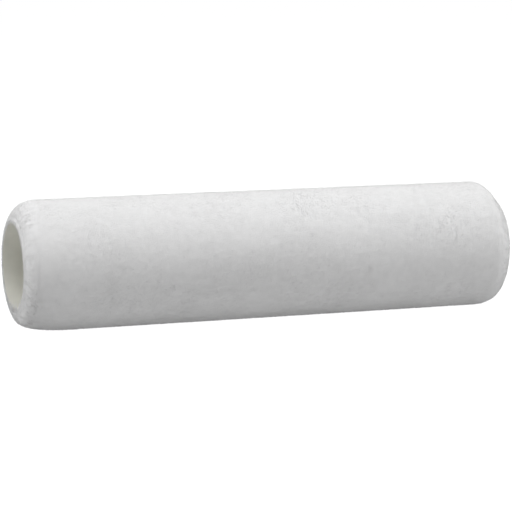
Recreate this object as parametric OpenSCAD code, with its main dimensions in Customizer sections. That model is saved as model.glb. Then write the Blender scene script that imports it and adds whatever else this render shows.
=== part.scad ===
// Paint roller cover: a pile fabric strip wound and bonded on a two-ply polypropylene core.
// Frame: origin at the centre of the bore at mid length, +X along the bore, +Z up. Millimetres.
//
// The cover is wound, not moulded. A narrow inner strip is wound on a mandrel, a film of molten
// polypropylene goes over it, and an outer strip is wound half a pitch out of step, so that each
// seam is backed by whole material. A second film bonds the fabric, which is one more strip. The
// wound tube is cut to length, and the pile is then sheared to size and bevelled at both ends.

/* [Cover] */
// Length of the cover, which is also the length of its core
cover_length = 228.6; // [100:0.1:460]
// Outside diameter over the sheared pile
cover_diameter = 57.5; // [50:0.5:80]

/* [Core] */
// Bore, which slides over a roller frame's cage
bore_diameter = 38.1; // [30:0.1:44.5]
// Thickness of the inner polypropylene strip
inner_strip_thickness = 0.4; // [0.3:0.05:1]
// Thickness of the molten polypropylene film between the two strips
core_film_thickness = 0.1; // [0.05:0.05:0.4]
// Thickness of the outer polypropylene strip
outer_strip_thickness = 0.4; // [0.3:0.05:1]

/* [Winding] */
// Width of each wound strip, measured square to its edges
strip_width = 73; // [50:1:90]
// Gap where the edges of one strip meet
seam_gap = 0.15; // [0.1:0.05:0.6]

/* [Fabric] */
// Thickness of the film that bonds the fabric to the core
fabric_film_thickness = 0.15; // [0.05:0.05:0.5]
// Thickness of the woven backing that carries the pile
backing_thickness = 0.6; // [0.4:0.1:1.2]
// Length of the bevel at each end of the pile, along the bore
bevel_length = 11.5; // [3:0.5:20]
// Fullness of the bevel: 1 is a straight chamfer and 2 is a quarter ellipse
bevel_fullness = 2; // [1:0.1:3]
// How far the pile's cut foot stops short of the end of the core
pile_setback = 0.4; // [0.1:0.1:2]

/* [Hidden] */
$fn = 96;

// Each layer starts where the one under it ends.
bore_radius = bore_diameter / 2;
core_film_radius = bore_radius + inner_strip_thickness;
outer_strip_radius = core_film_radius + core_film_thickness;
fabric_film_radius = outer_strip_radius + outer_strip_thickness;
backing_radius = fabric_film_radius + fabric_film_thickness;
pile_radius = backing_radius + backing_thickness;
cover_radius = cover_diameter / 2;

// The cutters reach past what they cut by this much.
overrun = 1;
// A seam cutter turns by this many degrees between two of its slices.
seam_step = 12;
// Straight pieces in the outline of one bevel.
bevel_pieces = 10;

// Advance in one turn of a strip of width w wound edge to edge at radius r: w = advance * cos(angle).
function winding_advance(w, r) =
    let (around = 2 * PI * r)
    w * around / sqrt(around * around - w * w);

// Width of a gap g, square to the seam, as it is met going round the tube at radius r.
function gap_around(g, advance, r) =
    let (around = 2 * PI * r)
    g * sqrt(1 + pow(around / advance, 2));

// A point on the bevel, as [radius, distance from mid length], with t from 0 at the foot to 1 at the crown.
function bevel_point(t) =
    let (
        foot = cover_length / 2 - pile_setback,
        power = 2 / bevel_fullness
    )
    [
        pile_radius + (cover_radius - pile_radius) * pow(sin(90 * t), power),
        foot - bevel_length * (1 - pow(cos(90 * t), power))
    ];

// Turns a shape that is drawn up the Z axis so that it lies along the bore.
module along_bore() {
    rotate([0, 90, 0]) children();
}

// One layer as a plain tube, from radius r outwards.
module layer(r, thickness) {
    difference() {
        cylinder(h = cover_length, r = r + thickness, center = true);
        cylinder(h = cover_length + 2 * overrun, r = r, center = true);
    }
}

// The gap between neighbouring turns of one strip, wide enough to cut through its layer.
module seam(r, thickness, start_angle) {
    advance = winding_advance(strip_width, r);
    cut_length = cover_length + 2 * overrun;
    turn = 360 * cut_length / advance;
    rotate([0, 0, start_angle])
        linear_extrude(
            height = cut_length, center = true, twist = -turn,
            slices = ceil(turn / seam_step), segments = 4
        )
            translate([r + thickness / 2, 0])
                square([thickness + 2 * overrun, gap_around(seam_gap, advance, r)], center = true);
}

// A strip wound edge to edge round radius r.
module wound_strip(r, thickness, start_angle) {
    difference() {
        layer(r, thickness);
        seam(r, thickness, start_angle);
    }
}

module inner_core_strip() {
    color([0.82, 0.81, 0.76])
        along_bore() wound_strip(bore_radius, inner_strip_thickness, 210);
}

module core_bond_film() {
    color([0.88, 0.87, 0.80])
        along_bore() layer(core_film_radius, core_film_thickness);
}

module outer_core_strip() {
    color([0.82, 0.81, 0.76])
        along_bore() wound_strip(outer_strip_radius, outer_strip_thickness, 30);
}

module fabric_bond_film() {
    color([0.88, 0.87, 0.80])
        along_bore() layer(fabric_film_radius, fabric_film_thickness);
}

module fabric_backing() {
    color([0.93, 0.93, 0.91])
        along_bore() wound_strip(backing_radius, backing_thickness, 90);
}

// The sheared pile is one soft ring, round-shouldered at both ends.
module pile() {
    steps = [0 : bevel_pieces];
    far_end = [for (i = steps) bevel_point(i / bevel_pieces)];
    near_end = [for (i = steps) let (p = bevel_point(1 - i / bevel_pieces)) [p[0], -p[1]]];
    color([0.96, 0.96, 0.96])
        along_bore() rotate_extrude() polygon(concat(far_end, near_end));
}

inner_core_strip();
core_bond_film();
outer_core_strip();
fabric_bond_film();
fabric_backing();
pile();
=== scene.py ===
"""Looks of a paint roller cover: sheared pile round a wound polypropylene core.

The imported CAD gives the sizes. The core's layers keep their CAD shape and get materials here.
The pile is built here as a relief of soft tufts with many thousand short fibres standing in it.
"""
import math

import bpy
import numpy as np
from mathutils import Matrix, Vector, noise


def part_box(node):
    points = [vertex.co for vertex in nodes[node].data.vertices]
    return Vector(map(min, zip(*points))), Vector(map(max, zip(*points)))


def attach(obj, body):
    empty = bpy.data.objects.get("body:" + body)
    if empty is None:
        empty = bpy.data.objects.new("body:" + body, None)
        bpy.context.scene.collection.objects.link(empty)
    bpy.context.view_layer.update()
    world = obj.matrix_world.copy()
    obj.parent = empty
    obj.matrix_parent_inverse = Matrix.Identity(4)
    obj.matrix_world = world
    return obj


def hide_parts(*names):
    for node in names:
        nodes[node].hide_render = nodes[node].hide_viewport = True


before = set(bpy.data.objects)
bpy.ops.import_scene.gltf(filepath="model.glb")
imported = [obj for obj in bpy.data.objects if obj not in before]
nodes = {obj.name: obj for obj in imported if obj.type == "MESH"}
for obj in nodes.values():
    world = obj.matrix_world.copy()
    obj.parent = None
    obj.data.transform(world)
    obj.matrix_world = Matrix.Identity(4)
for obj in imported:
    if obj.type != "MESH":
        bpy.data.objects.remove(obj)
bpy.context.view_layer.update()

MM = 0.001
SEED = 20

# Without this, noise_vector takes its offsets from the clock and every run differs.
noise.seed_set(SEED)

# Sizes from the CAD
pile_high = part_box("pile")[1]
COVER_RADIUS = pile_high.z
FOOT_X = pile_high.x
FOOT_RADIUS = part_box("fabric_backing")[1].z
RIM_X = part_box("inner_core_strip")[1].x
RIM_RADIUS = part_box("fabric_bond_film")[1].z

# Relief of the pile. TUFTS are (size, place in the noise, height in mm), and COMBS, the ridges down
# the shoulders, are (fineness round the cover, length, share of COMB_HEIGHT).
RELIEF_STEP = 0.95 * MM
RELIEF_AROUND = 280
FUZZ_DEPTH = 0.15 * MM
TUFTS = (
    (1.9 * MM, (0, 0, 0), 0.045),
    (4.5 * MM, (7, 3, 1), 0.058),
    (19 * MM, (1, 9, 4), 0.12),
)
COMBS = ((21, 9 * MM, 1), (33, 6 * MM, 0.7))
COMB_HEIGHT = 0.17 * MM
COMB_DROP = 2 * MM

# Fibres of the nap: how many to a square mm, and their size above the relief
BODY_FIBRES = 3.8
SHOULDER_FIBRES = 5.5
FIBRE_LENGTH = 0.42 * MM
FIBRE_EXTRA = 0.1 * MM
FIBRE_ROOT_MM = 0.35
FIBRE_WIDTH = 0.13 * MM
FIBRE_LENGTHS = (0.7, 1.2)
FIBRE_WIDTHS = (0.7, 1.3)
FIBRE_TAPER = 0.8
TUFT_SIZE = 1.7 * MM

# How far fibres lean, as (on the crown, added on a shoulder): each by itself, and tufts together
LOOSE_LEAN = (0.22, 0.12)
TUFT_LEAN = (0.35, 0.1)

# The lip of nap that folds in over the rim, and the gap between the nap and the core or backing
LIP_LIFT = 0.1 * MM
LIP_REACH = 0.5 * MM
CORE_GAP = 0.03 * MM

# The fringe of loose fibres that hangs from the lip in small locks
FRINGE_FIBRES = 1800
FRINGE_LOCKS = 135
FRINGE_OVERHANG = 0.5 * MM
FRINGE_HANG = 0.9 * MM
FRINGE_ROOTS = (0.1 * MM, 0.9 * MM)
FRINGE_WIDTH = 0.09 * MM
FRINGE_LENGTHS = (0.7, 1.1)
LOCK_SPREAD = 0.28 * MM
LOCK_LENGTHS = (0.4, 1.5)
LOCK_SWAY = 0.35
LOCK_LIFTS_MM = (0.08, 0.28)
LOCK_HEAVES_MM = (0, 0.5)
LOWEST_SPREAD = 0.45

# A fringe fibre's levels, as (share of the fall, share of the lift, how far it closes on its lock)
FRINGE_LEVELS = ((0, -1, 0), (0.2, 0.7, 0.3), (0.55, 1, 0.6), (1, 0.9, 0.9))

# Longer locks that lie along the shoulders, with levels as (share of the length, share of the lift)
SHOULDER_LOCKS = 220
SHOULDER_LOCK_WIDTH = 0.17 * MM
SHOULDER_LOCK_SPREAD = 0.8
SHOULDER_LOCK_TURN = 0.02
SHOULDER_LOCK_STARTS_MM = (0.6, 9)
SHOULDER_LOCK_LENGTHS_MM = (1.0, 2.4)
SHOULDER_LOCK_LIFTS_MM = (0.25, 0.45)
SHOULDER_LOCK_LEVELS = ((0, 0), (0.4, 1), (1, 0.9))

# Shoulders of the pile, as (length, rise) at the top and at the bottom of the cover, where the nap
# is sheared a little differently. A rise of 2 starts like an ellipse, 1 like a chamfer, and more
# than 2 keeps steep for longer before it turns into the crown. low_power says how closely the
# bottom's shape keeps to the bottom: 1 fades evenly to the top, and more keeps it lower. near_cut
# is the share of its length that a shoulder loses on the side that faces the camera.
LEFT_SHOULDER = {
    "top": (10.4 * MM, 1.8),
    "bottom": (23.8 * MM, 3.4),
    "low_power": 2.2,
    "near_cut": 0.65,
}
RIGHT_SHOULDER = {
    "top": (8.8 * MM, 0.72),
    "bottom": (9.7 * MM, 2.6),
    "low_power": 1,
    "near_cut": 0,
}
CROWN_BLEND = 2.1
SHOULDER_STEPS = 30
FOOT_STEPS = 2


# ---------------------------------------------------------------- pile outline

def shoulder_curve(t, length, rise):
    """A point on a shoulder as (distance in from its foot, share of the height), t from 0 to 1."""
    along = length * (1 - math.cos(t * math.pi / 2) ** (2 / CROWN_BLEND))
    up = math.sin(t * math.pi / 2) ** (2 / rise)
    return along, up


def shoulder(t, side, angle):
    """The shoulder's point at an angle round the bore, where a quarter turn is the top."""
    share = ((1 - math.sin(angle)) / 2) ** side["low_power"]
    top = shoulder_curve(t, *side["top"])
    bottom = shoulder_curve(t, *side["bottom"])
    along, up = [high + (low - high) * share for high, low in zip(top, bottom)]
    near = max(math.cos(angle), 0) ** 2
    return along * (1 - side["near_cut"] * near), up


def shoulder_side(side, angle):
    """The outside of one shoulder from its lip to the crown, as points (distance out, radius)."""
    height = COVER_RADIUS - FUZZ_DEPTH - FOOT_RADIUS
    lip = RIM_X + LIP_LIFT
    points = [(lip, RIM_RADIUS - LIP_REACH), (lip, FOOT_RADIUS + LIP_LIFT)]
    for i in range(FOOT_STEPS, SHOULDER_STEPS + 1):
        along, up = shoulder(i / SHOULDER_STEPS, side, angle)
        points.append((FOOT_X - FUZZ_DEPTH - along, FOOT_RADIUS + max(height * up, LIP_LIFT)))
    return points


def pile_outline(angle):
    """The pile's outside from the left lip to the right lip, as points (x, radius)."""
    left = [(-x, radius) for x, radius in shoulder_side(LEFT_SHOULDER, angle)]
    right = shoulder_side(RIGHT_SHOULDER, angle)[::-1]
    start, crown = left[-1]
    stop = right[0][0]
    count = round(2 * FOOT_X / RELIEF_STEP)
    flat = [(start + (stop - start) * i / count, crown) for i in range(1, count)]
    return np.array(left + flat + right)


def pile_inside():
    """The pile's inside from the right lip back to the left lip, clear of the core and backing."""
    end = RIM_X + CORE_GAP
    inside = FOOT_RADIUS + CORE_GAP
    corner = [(end, RIM_RADIUS - LIP_REACH), (end, inside)]
    steps = 24
    middle = [(end - 2 * end * i / steps, inside) for i in range(1, steps)]
    return corner + middle + [(-x, radius) for x, radius in corner[::-1]]


def outline_normals(points):
    """Unit normals (x, radial) of an outline, pointing away from the bore."""
    along = np.gradient(points, axis=0)
    out = np.stack([-along[:, 1], along[:, 0]], axis=1)
    return out / np.linalg.norm(out, axis=1)[:, None]


# ---------------------------------------------------------------- relief

def tuft_height(x, y, z):
    """Height of the nap over its mean, in metres, at a point in the cover's frame."""
    point = Vector((x, y, z))
    total = 0
    for size, place, height in TUFTS:
        total += height * noise.noise(point / size + Vector(place))
    return total * MM


def comb_height(x, angle):
    """Height of the ridges that the fibres leave down the shoulders, from foot to crown."""
    around = Vector((math.cos(angle), math.sin(angle), 0))
    ridges = 0
    for fineness, length, share in COMBS:
        ridges += share * noise.noise(around * fineness + Vector((0, 0, x / length)))
    return COMB_HEIGHT * ridges


def shoulder_share(radius):
    """0 on the crown, rising to 1 on the part of a shoulder that is COMB_DROP or more below it."""
    t = min(max((COVER_RADIUS - FUZZ_DEPTH - radius) / COMB_DROP, 0), 1)
    return t * t * (3 - 2 * t)


def mesh_object(name, points, faces, smooth=True):
    mesh = bpy.data.meshes.new(name)
    mesh.from_pydata(points.tolist(), [], faces.tolist())
    mesh.validate()
    mesh.polygons.foreach_set("use_smooth", [smooth] * len(mesh.polygons))
    mesh.update()
    piece = bpy.data.objects.new(name, mesh)
    bpy.context.scene.collection.objects.link(piece)
    return piece


def ring_point(x, radius, angle):
    return x, -radius * math.cos(angle), radius * math.sin(angle)


def build_pile():
    """The pile fabric as one closed ring, with its outside in relief."""
    columns = []
    for k in range(RELIEF_AROUND):
        angle = 2 * math.pi * k / RELIEF_AROUND
        outline = pile_outline(angle)
        normals = outline_normals(outline)
        column = []
        for (x, radius), (nx, nr) in zip(outline, normals):
            comb = shoulder_share(radius)
            lift = tuft_height(*ring_point(x, radius, angle))
            if comb > 0:
                lift += comb * comb_height(x, angle)
            if abs(x) > RIM_X:
                column.append(ring_point(x, radius, angle))
                continue
            raised = max(radius + nr * lift, FOOT_RADIUS + LIP_LIFT)
            column.append(ring_point(x + nx * lift, raised, angle))
        column += [ring_point(x, radius, angle) for x, radius in pile_inside()]
        columns.append(column)
    rows = len(columns[0])
    faces = []
    for k in range(RELIEF_AROUND):
        m = (k + 1) % RELIEF_AROUND
        for i in range(rows):
            j = (i + 1) % rows
            faces.append((k * rows + i, m * rows + i, m * rows + j, k * rows + j))
    points = [point for column in columns for point in column]
    return mesh_object("pile_fabric", np.array(points), np.array(faces))


# ---------------------------------------------------------------- fibres

def nap_surface(low, high, count, random):
    """Random places on the pile between shares low and high of its outline, foot to foot.

    Gives their points, outward normals, directions round the bore, and shares of shoulder.
    """
    share = random.uniform(low, high, count)
    angle = random.uniform(0, 2 * math.pi, count)
    turns = 48
    samples = 1200
    outlines = []
    normals = []
    for k in range(turns):
        outline = pile_outline(2 * math.pi * k / turns)
        steps = np.linalg.norm(np.diff(outline, axis=0), axis=1)
        run = np.concatenate([[0], np.cumsum(steps)])
        even = np.linspace(0, run[-1], samples)
        out = outline_normals(outline)
        outlines.append([np.interp(even, run, outline[:, i]) for i in (0, 1)])
        normals.append([np.interp(even, run, out[:, i]) for i in (0, 1)])
    column = np.round(angle / (2 * math.pi) * turns).astype(int) % turns
    row = np.round(share * (samples - 1)).astype(int)
    x = np.array(outlines)[column, 0, row]
    radius = np.array(outlines)[column, 1, row]
    nx = np.array(normals)[column, 0, row]
    nr = np.array(normals)[column, 1, row]
    point = np.stack([x, -radius * np.cos(angle), radius * np.sin(angle)], axis=1)
    out = np.stack([nx, -nr * np.cos(angle), nr * np.sin(angle)], axis=1)
    around = np.stack([0 * x, np.sin(angle), np.cos(angle)], axis=1)
    shoulder_part = np.array([shoulder_share(r) for r in radius])[:, None]
    return point, out, around, shoulder_part


def unit(vectors):
    return vectors / np.linalg.norm(vectors, axis=1)[:, None]


def clear_of_core(points):
    """Moves the points that lie in the core or its backing out through the nearer face."""
    radius = np.hypot(points[:, 1], points[:, 2])
    under = FOOT_RADIUS + CORE_GAP - radius
    behind = RIM_X + CORE_GAP - np.abs(points[:, 0])
    inside = (under > 0) & (behind > 0)
    outward = inside & (under < behind)
    endward = inside & (under >= behind)
    points[outward, 1:] *= ((FOOT_RADIUS + CORE_GAP) / radius[outward])[:, None]
    points[endward, 0] = np.sign(points[endward, 0]) * (RIM_X + CORE_GAP)


def fibre_mesh(name, spine, wide, turn):
    """Closed tapering fibres with three sides.

    spine holds their centre points, level by level from the roots to the tips. wide is the radius
    at the root, and turn the angle of the first corner.
    """
    levels = len(spine) - 1
    count = len(turn)
    way = unit(spine[1] - spine[0])
    aslant = np.array([0.31, 0.52, 0.80])
    side = unit(np.cross(way, aslant))
    other = np.cross(way, side)
    corners = []
    for level in range(levels):
        taper = 1 - FIBRE_TAPER * level / levels
        for third in range(3):
            a = (turn + third * 2 * math.pi / 3)[:, None]
            corners.append(spine[level] + taper * wide * (side * np.cos(a) + other * np.sin(a)))
    tip = 3 * levels
    pattern = [(2, 1, 0)]
    for level in range(levels - 1):
        for third in range(3):
            low = 3 * level + third
            following = 3 * level + (third + 1) % 3
            pattern.append((low, following, following + 3))
            pattern.append((low, following + 3, low + 3))
    for third in range(3):
        pattern.append((tip - 3 + third, tip - 3 + (third + 1) % 3, tip))
    points = np.stack(corners + [spine[-1]], axis=1).reshape(-1, 3)
    clear_of_core(points)
    first = (tip + 1) * np.arange(count)[:, None, None]
    faces = (first + np.array(pattern)[None]).reshape(-1, 3)
    return mesh_object(name, points, faces)


def build_fibres(name, low, high, seed):
    """Short fibres standing in the pile over part of its outline."""
    random = np.random.default_rng(seed)
    outline = pile_outline(0)
    length = np.linalg.norm(np.diff(outline, axis=0), axis=1).sum()
    area = (high - low) * length * 2 * math.pi * COVER_RADIUS
    tried = int(SHOULDER_FIBRES * area / MM ** 2)
    point, out, around, comb = nap_surface(low, high, tried, random)
    density = BODY_FIBRES + (SHOULDER_FIBRES - BODY_FIBRES) * comb[:, 0]
    kept = random.uniform(0, SHOULDER_FIBRES, len(comb)) < density
    point, out, around, comb = point[kept], out[kept], around[kept], comb[kept]
    count = len(comb)
    along = np.cross(around, out)
    tuft = np.array([noise.noise_vector(Vector(p) / TUFT_SIZE) for p in point])
    loose = LOOSE_LEAN[0] + LOOSE_LEAN[1] * comb
    together = TUFT_LEAN[0] + TUFT_LEAN[1] * comb
    lean = loose * random.normal(0, 1, (count, 2)) + together * tuft[:, :2]
    way = unit(out + lean[:, :1] * around + lean[:, 1:] * along)
    reach = (FIBRE_LENGTH + FIBRE_EXTRA * comb) * random.uniform(*FIBRE_LENGTHS, count)[:, None]
    wide = FIBRE_WIDTH * random.uniform(*FIBRE_WIDTHS, count)[:, None]
    turn = random.uniform(0, 2 * math.pi, count)
    return fibre_mesh(name, [point - way * FIBRE_ROOT_MM * MM, point + way * reach], wide, turn)


def build_fringe(name, end, pressed, seed):
    """Small locks of fibres rooted round the lip of one shoulder and bent in over the rim.

    end is -1 or 1, and pressed is how far the floor has pushed the lowest ones up over the bore.
    """
    random = np.random.default_rng(seed)
    lock = random.integers(0, FRINGE_LOCKS, FRINGE_FIBRES)
    lock_angle = random.uniform(0, 2 * math.pi, FRINGE_LOCKS)
    lowest = FRINGE_LOCKS // 3
    lock_angle[:lowest] = random.normal(-math.pi / 2, LOWEST_SPREAD, lowest)
    lock_angle = lock_angle[lock]
    lock_length = random.uniform(*LOCK_LENGTHS, FRINGE_LOCKS)[lock]
    lock_sway = random.normal(0, LOCK_SWAY, FRINGE_LOCKS)[lock]
    lock_lift = random.uniform(*LOCK_LIFTS_MM, FRINGE_LOCKS)[lock] * MM
    lock_heave = random.uniform(*LOCK_HEAVES_MM, FRINGE_LOCKS)[lock] * MM
    aside = random.normal(0, LOCK_SPREAD, FRINGE_FIBRES)
    angle = lock_angle + aside / RIM_RADIUS
    zero = np.zeros(FRINGE_FIBRES)
    outward = np.stack([zero, -np.cos(angle), np.sin(angle)], axis=1)
    around = np.stack([zero, np.sin(angle), np.cos(angle)], axis=1)
    forward = np.array([end, 0, 0])
    root = RIM_RADIUS - LIP_REACH + random.uniform(*FRINGE_ROOTS, FRINGE_FIBRES)
    underside = np.clip(-np.sin(angle), 0, 1) ** 3
    lock_lift = lock_lift + underside * lock_heave
    pressed_up = pressed * underside
    hung_down = FRINGE_HANG * np.clip(np.sin(angle), 0, 1) ** 4
    overhang = FRINGE_OVERHANG + pressed_up + hung_down
    hang = overhang * lock_length * random.uniform(*FRINGE_LENGTHS, FRINGE_FIBRES)
    drop = root - (RIM_RADIUS - LIP_REACH) + hang
    spine = []
    for fall, lift, close in FRINGE_LEVELS:
        spine.append(
            outward * (root - fall * drop)[:, None]
            + forward * (RIM_X + lift * lock_lift)[:, None]
            + around * (fall * lock_sway * drop - close * aside)[:, None]
        )
    wide = FRINGE_WIDTH * random.uniform(*FIBRE_WIDTHS, FRINGE_FIBRES)[:, None]
    return fibre_mesh(name, spine, wide, random.uniform(0, 2 * math.pi, FRINGE_FIBRES))


def on_shoulder(side, end, angle, distance, lift):
    """A point some distance from the lip along one shoulder, lifted off it."""
    points = np.array(shoulder_side(side, angle))
    steps = np.linalg.norm(np.diff(points, axis=0), axis=1)
    run = np.concatenate([[0], np.cumsum(steps)])
    x = np.interp(distance, run, points[:, 0]) + 0.7 * lift
    radius = np.interp(distance, run, points[:, 1]) + 0.7 * lift
    return ring_point(end * x, radius, angle)


def build_locks(name, side, end, seed):
    """Longer locks of nap lying along one shoulder, most of them low down. end is -1 or 1."""
    random = np.random.default_rng(seed)
    spine = [[], [], []]
    for lock in range(SHOULDER_LOCKS):
        angle = -math.pi / 2 + random.normal(0, SHOULDER_LOCK_SPREAD)
        start = random.uniform(*SHOULDER_LOCK_STARTS_MM) * MM
        length = random.uniform(*SHOULDER_LOCK_LENGTHS_MM) * MM
        turn = random.normal(0, SHOULDER_LOCK_TURN)
        lift = random.uniform(*SHOULDER_LOCK_LIFTS_MM) * MM
        for level, (share, rise) in enumerate(SHOULDER_LOCK_LEVELS):
            distance = start + share * length
            spine[level].append(on_shoulder(side, end, angle + share * turn, distance, rise * lift))
    wide = SHOULDER_LOCK_WIDTH * random.uniform(*FIBRE_WIDTHS, SHOULDER_LOCKS)[:, None]
    turn = random.uniform(0, 2 * math.pi, SHOULDER_LOCKS)
    return fibre_mesh(name, [np.array(points) for points in spine], wide, turn)


# ---------------------------------------------------------------- materials

class Graph:
    """A material's nodes, with short calls to add and join them."""

    def __init__(self, name):
        self.material = bpy.data.materials.new(name)
        self.material.use_nodes = True
        self.tree = self.material.node_tree
        self.shader = self.tree.nodes["Principled BSDF"]

    def add(self, kind, **settings):
        node = self.tree.nodes.new(kind)
        for key, value in settings.items():
            if hasattr(node, key):
                setattr(node, key, value)
            else:
                node.inputs[key.replace("_", " ")].default_value = value
        return node

    def join(self, output, target):
        self.tree.links.new(output, target)

    def ramp(self, source, stops):
        """A colour ramp over source. stops are (position, (r, g, b))."""
        node = self.add("ShaderNodeValToRGB")
        elements = node.color_ramp.elements
        while len(elements) < len(stops):
            elements.new(0.5)
        for element, (position, colour) in zip(elements, stops):
            element.position = position
            element.color = (*colour, 1)
        self.join(source, node.inputs["Fac"])
        return node.outputs["Color"]

    def spread(self, source, low, high, start=0.0, stop=1.0):
        """source, from start to stop, spread over low to high."""
        node = self.add("ShaderNodeMapRange")
        node.inputs["From Min"].default_value = start
        node.inputs["From Max"].default_value = stop
        node.inputs["To Min"].default_value = low
        node.inputs["To Max"].default_value = high
        self.join(source, node.inputs["Value"])
        return node.outputs["Result"]

    def mix(self, share, first, second):
        """A colour that goes from first to second as share goes from 0 to 1."""
        node = self.add("ShaderNodeMix", data_type="RGBA")
        self.join(share, node.inputs[0])
        self.join(first, node.inputs[6])
        node.inputs[7].default_value = (*second, 1)
        return node.outputs[2]

    def painted_end_shade_mask(self):
        """1 on the sawn ends of the core, where a darker colour is painted as shade, and 0 along
        it.
        """
        parts = self.add("ShaderNodeSeparateXYZ")
        self.join(self.place(), parts.inputs[0])
        size = self.add("ShaderNodeMath", operation="ABSOLUTE")
        self.join(parts.outputs["X"], size.inputs[0])
        return self.spread(size.outputs[0], 0, 1, FOOT_X + 0.30 * MM, FOOT_X + 0.38 * MM)

    def place(self):
        return self.add("ShaderNodeTexCoord").outputs["Object"]

    def stretched(self, scale):
        node = self.add("ShaderNodeMapping")
        node.inputs["Scale"].default_value = scale
        self.join(self.place(), node.inputs["Vector"])
        return node.outputs["Vector"]

    def speckle(self, vector, size, detail=2.0):
        """Soft noise with features about size across."""
        node = self.add("ShaderNodeTexNoise")
        node.inputs["Scale"].default_value = 1 / size
        node.inputs["Detail"].default_value = detail
        self.join(vector, node.inputs["Vector"])
        return node.outputs["Fac"]

    def bump(self, height, depth):
        node = self.add("ShaderNodeBump")
        node.inputs["Distance"].default_value = depth
        self.join(height, node.inputs["Height"])
        self.join(node.outputs["Normal"], self.shader.inputs["Normal"])


PILE_WHITE = (0.90, 0.90, 0.90)
PATCH_SHADE = 0.965
WEAVE_PITCH = 1.2 * MM
YARN_LOW = (0.80, 0.80, 0.78)
YARN_HIGH = (0.90, 0.90, 0.88)


def white_pile(name):
    """Matte white pile with a soft sheen and faint uneven patches."""
    g = Graph(name)
    patches = g.speckle(g.place(), 3.2 * MM, 3.0)
    low = tuple(PATCH_SHADE * c for c in PILE_WHITE)
    g.join(g.ramp(patches, [(0.35, low), (0.65, PILE_WHITE)]), g.shader.inputs["Base Color"])
    g.join(g.spread(patches, 0.85, 1.0), g.shader.inputs["Roughness"])
    grain = g.speckle(g.place(), 0.35 * MM, 2.0)
    g.bump(grain, 0.08 * MM)
    g.shader.inputs["Sheen Weight"].default_value = 0.15
    g.shader.inputs["Sheen Roughness"].default_value = 0.6
    g.shader.inputs["Specular IOR Level"].default_value = 0.2
    return g.material


def natural_plastic(name, colour, end_shade_colour):
    """Satin, slightly cloudy polypropylene with faint marks along the winding, and a darker colour
    painted on the sawn ends as shade.
    """
    g = Graph(name)
    cloud = g.speckle(g.place(), 6 * MM, 2.0)
    darker = tuple(0.95 * c for c in colour)
    wall = g.ramp(cloud, [(0.3, darker), (0.7, colour)])
    # The sawn ends get the darker colour, which is painted shade.
    g.join(g.mix(g.painted_end_shade_mask(), wall, end_shade_colour), g.shader.inputs["Base Color"])
    marks = g.speckle(g.stretched((0.15, 1, 1)), 0.8 * MM, 3.0)
    g.join(g.spread(marks, 0.38, 0.55), g.shader.inputs["Roughness"])
    g.bump(marks, 0.02 * MM)
    g.shader.inputs["Subsurface Weight"].default_value = 0.1
    g.shader.inputs["Subsurface Radius"].default_value = (1, 1, 1)
    g.shader.inputs["Subsurface Scale"].default_value = 0.3 * MM
    return g.material


def woven_backing(name):
    """Tight plain weave in off-white yarn."""
    g = Graph(name)
    wave = g.add("ShaderNodeTexWave", wave_type="BANDS")
    wave.inputs["Scale"].default_value = 1 / (2 * math.pi * WEAVE_PITCH)
    wave.inputs["Distortion"].default_value = 1.0
    g.join(g.place(), wave.inputs["Vector"])
    yarn = g.ramp(wave.outputs["Fac"], [(0.2, YARN_LOW), (0.8, YARN_HIGH)])
    g.join(yarn, g.shader.inputs["Base Color"])
    g.bump(wave.outputs["Fac"], 0.1 * MM)
    g.shader.inputs["Roughness"].default_value = 0.9
    return g.material


def assign(piece, material):
    piece.data.materials.clear()
    piece.data.materials.append(material)


# ---------------------------------------------------------------- pieces

pile = build_pile()
assign(pile, white_pile("pile_white"))
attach(pile, "root")
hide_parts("pile")

# The nap is in several pieces along the cover, which keeps each mesh a manageable size.
fibre_white = white_pile("fibre_white")
NAP = ("nap_left_end", "nap_left", "nap_middle", "nap_right", "nap_right_end")
NAP_EDGES = (0, 0.13, 0.375, 0.625, 0.87, 1)
for number, name in enumerate(NAP):
    nap = build_fibres(name, NAP_EDGES[number], NAP_EDGES[number + 1], SEED + number)
    assign(nap, fibre_white)
    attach(nap, "root")

loose = [
    build_fringe("fringe_left", -1, 2.8 * MM, SEED + 10),
    build_fringe("fringe_right", 1, 0.8 * MM, SEED + 11),
    build_locks("locks_left", LEFT_SHOULDER, -1, SEED + 12),
    build_locks("locks_right", RIGHT_SHOULDER, 1, SEED + 13),
]
for piece in loose:
    assign(piece, fibre_white)
    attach(piece, "root")

CORE = (0.97, 0.965, 0.895)
# Painted shade: a darker, greyer core colour for the sawn ends of the core.
CORE_END_SHADE = (0.90, 0.90, 0.87)
CORE_LAYERS = {
    "inner_core_strip": "core_inside",
    "core_bond_film": "core_bond",
    "outer_core_strip": "core_outside",
    "fabric_bond_film": "fabric_bond",
}
for node, material_name in CORE_LAYERS.items():
    assign(nodes[node], natural_plastic(material_name, CORE, CORE_END_SHADE))
assign(nodes["fabric_backing"], woven_backing("backing_weave"))


# ---------------------------------------------------------------- floor, light and camera

LIGHT_DISTANCE = 1.2
SIDE_PANEL = (0.6, 0.6)
FLOOR_GLOW = 0.26
ROOM_GLOW = 0.0


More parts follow.
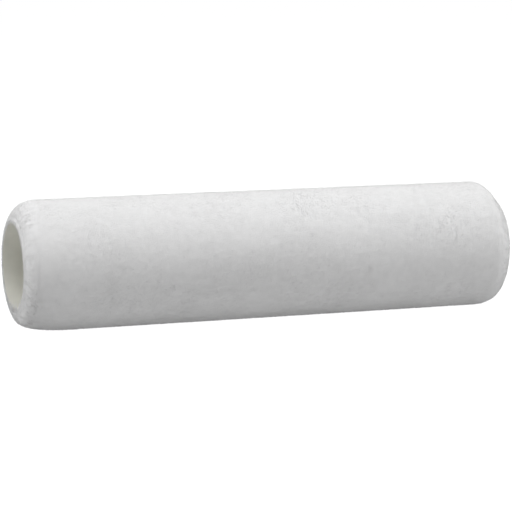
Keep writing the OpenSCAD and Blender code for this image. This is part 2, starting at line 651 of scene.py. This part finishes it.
def build_floor():
    size = 40
    steps = 2
    points = []
    for i in range(steps + 1):
        for j in range(steps + 1):
            points.append((size * (i / steps - 0.5), size * (j / steps - 0.5), -COVER_RADIUS))
    faces = []
    for i in range(steps):
        for j in range(steps):
            a = i * (steps + 1) + j
            faces.append((a, a + steps + 1, a + steps + 2, a + 1))
    floor = mesh_object("floor", np.array(points), np.array(faces), smooth=False)
    g = Graph("floor_white")
    g.shader.inputs["Base Color"].default_value = (0.3, 0.3, 0.3, 1)
    g.shader.inputs["Roughness"].default_value = 1.0
    g.shader.inputs["Specular IOR Level"].default_value = 0.0
    path = g.add("ShaderNodeLightPath")
    g.shader.inputs["Emission Color"].default_value = (1, 1, 1, 1)
    strength = g.spread(path.outputs["Is Camera Ray"], FLOOR_GLOW, 1.0)
    g.join(strength, g.shader.inputs["Emission Strength"])
    assign(floor, g.material)


def soft_light(name, azimuth, tilt, power, width=1.6, depth=0.9):
    """A large soft panel that faces the cover.

    azimuth 0 is in front, and tilt is down from overhead, both in degrees.
    """
    data = bpy.data.lights.new(name, "AREA")
    data.shape = "RECTANGLE"
    data.size = width
    data.size_y = depth
    data.energy = power
    lamp = bpy.data.objects.new(name, data)
    a = math.radians(azimuth)
    t = math.radians(tilt)
    away = Vector((math.sin(a) * math.sin(t), -math.cos(a) * math.sin(t), math.cos(t)))
    lamp.location = away * LIGHT_DISTANCE
    lamp.rotation_euler = away.to_track_quat("Z", "Y").to_euler()
    bpy.context.scene.collection.objects.link(lamp)


def white_world(strength):
    world = bpy.data.worlds.new("white_room")
    world.use_nodes = True
    tree = world.node_tree
    back = tree.nodes["Background"]
    back.inputs["Color"].default_value = (1, 1, 1, 1)
    path = tree.nodes.new("ShaderNodeLightPath")
    level = tree.nodes.new("ShaderNodeMapRange")
    level.inputs["To Min"].default_value = strength
    level.inputs["To Max"].default_value = 1.0
    tree.links.new(path.outputs["Is Camera Ray"], level.inputs["Value"])
    tree.links.new(level.outputs["Result"], back.inputs["Strength"])
    bpy.context.scene.world = world


CAMERA_AZIMUTH = -20.11
CAMERA_ELEVATION = 8.24
CAMERA_DISTANCE = 0.9758
SENSOR_MM = 36
LENS_MM = 152.05
AIM_LEFT = 2.14 * MM
AIM_DOWN = 1.0 * MM


def build_camera():
    data = bpy.data.cameras.new("camera")
    data.sensor_width = SENSOR_MM
    data.lens = LENS_MM
    camera = bpy.data.objects.new("camera", data)
    azimuth = math.radians(CAMERA_AZIMUTH)
    elevation = math.radians(CAMERA_ELEVATION)
    back = Vector((
        math.sin(azimuth) * math.cos(elevation),
        -math.cos(azimuth) * math.cos(elevation),
        math.sin(elevation),
    ))
    right = Vector((math.cos(azimuth), math.sin(azimuth), 0))
    up = back.cross(right)
    camera.location = back * CAMERA_DISTANCE
    aim = -right * AIM_LEFT - up * AIM_DOWN
    camera.rotation_euler = (aim - camera.location).to_track_quat("-Z", "Y").to_euler()
    bpy.context.scene.collection.objects.link(camera)
    bpy.context.scene.camera = camera


build_floor()
soft_light("overhead", 0, 0, 5.7)
soft_light("front", 0, 20, 10.2)
soft_light("left_side", -90, 80, 3.6, *SIDE_PANEL)
soft_light("left_back", -120, 60, 2.6, *SIDE_PANEL)
soft_light("right_side", 60, 90, 7.5, *SIDE_PANEL)
white_world(ROOM_GLOW)
build_camera()
bpy.context.scene.view_settings.view_transform = "Standard"
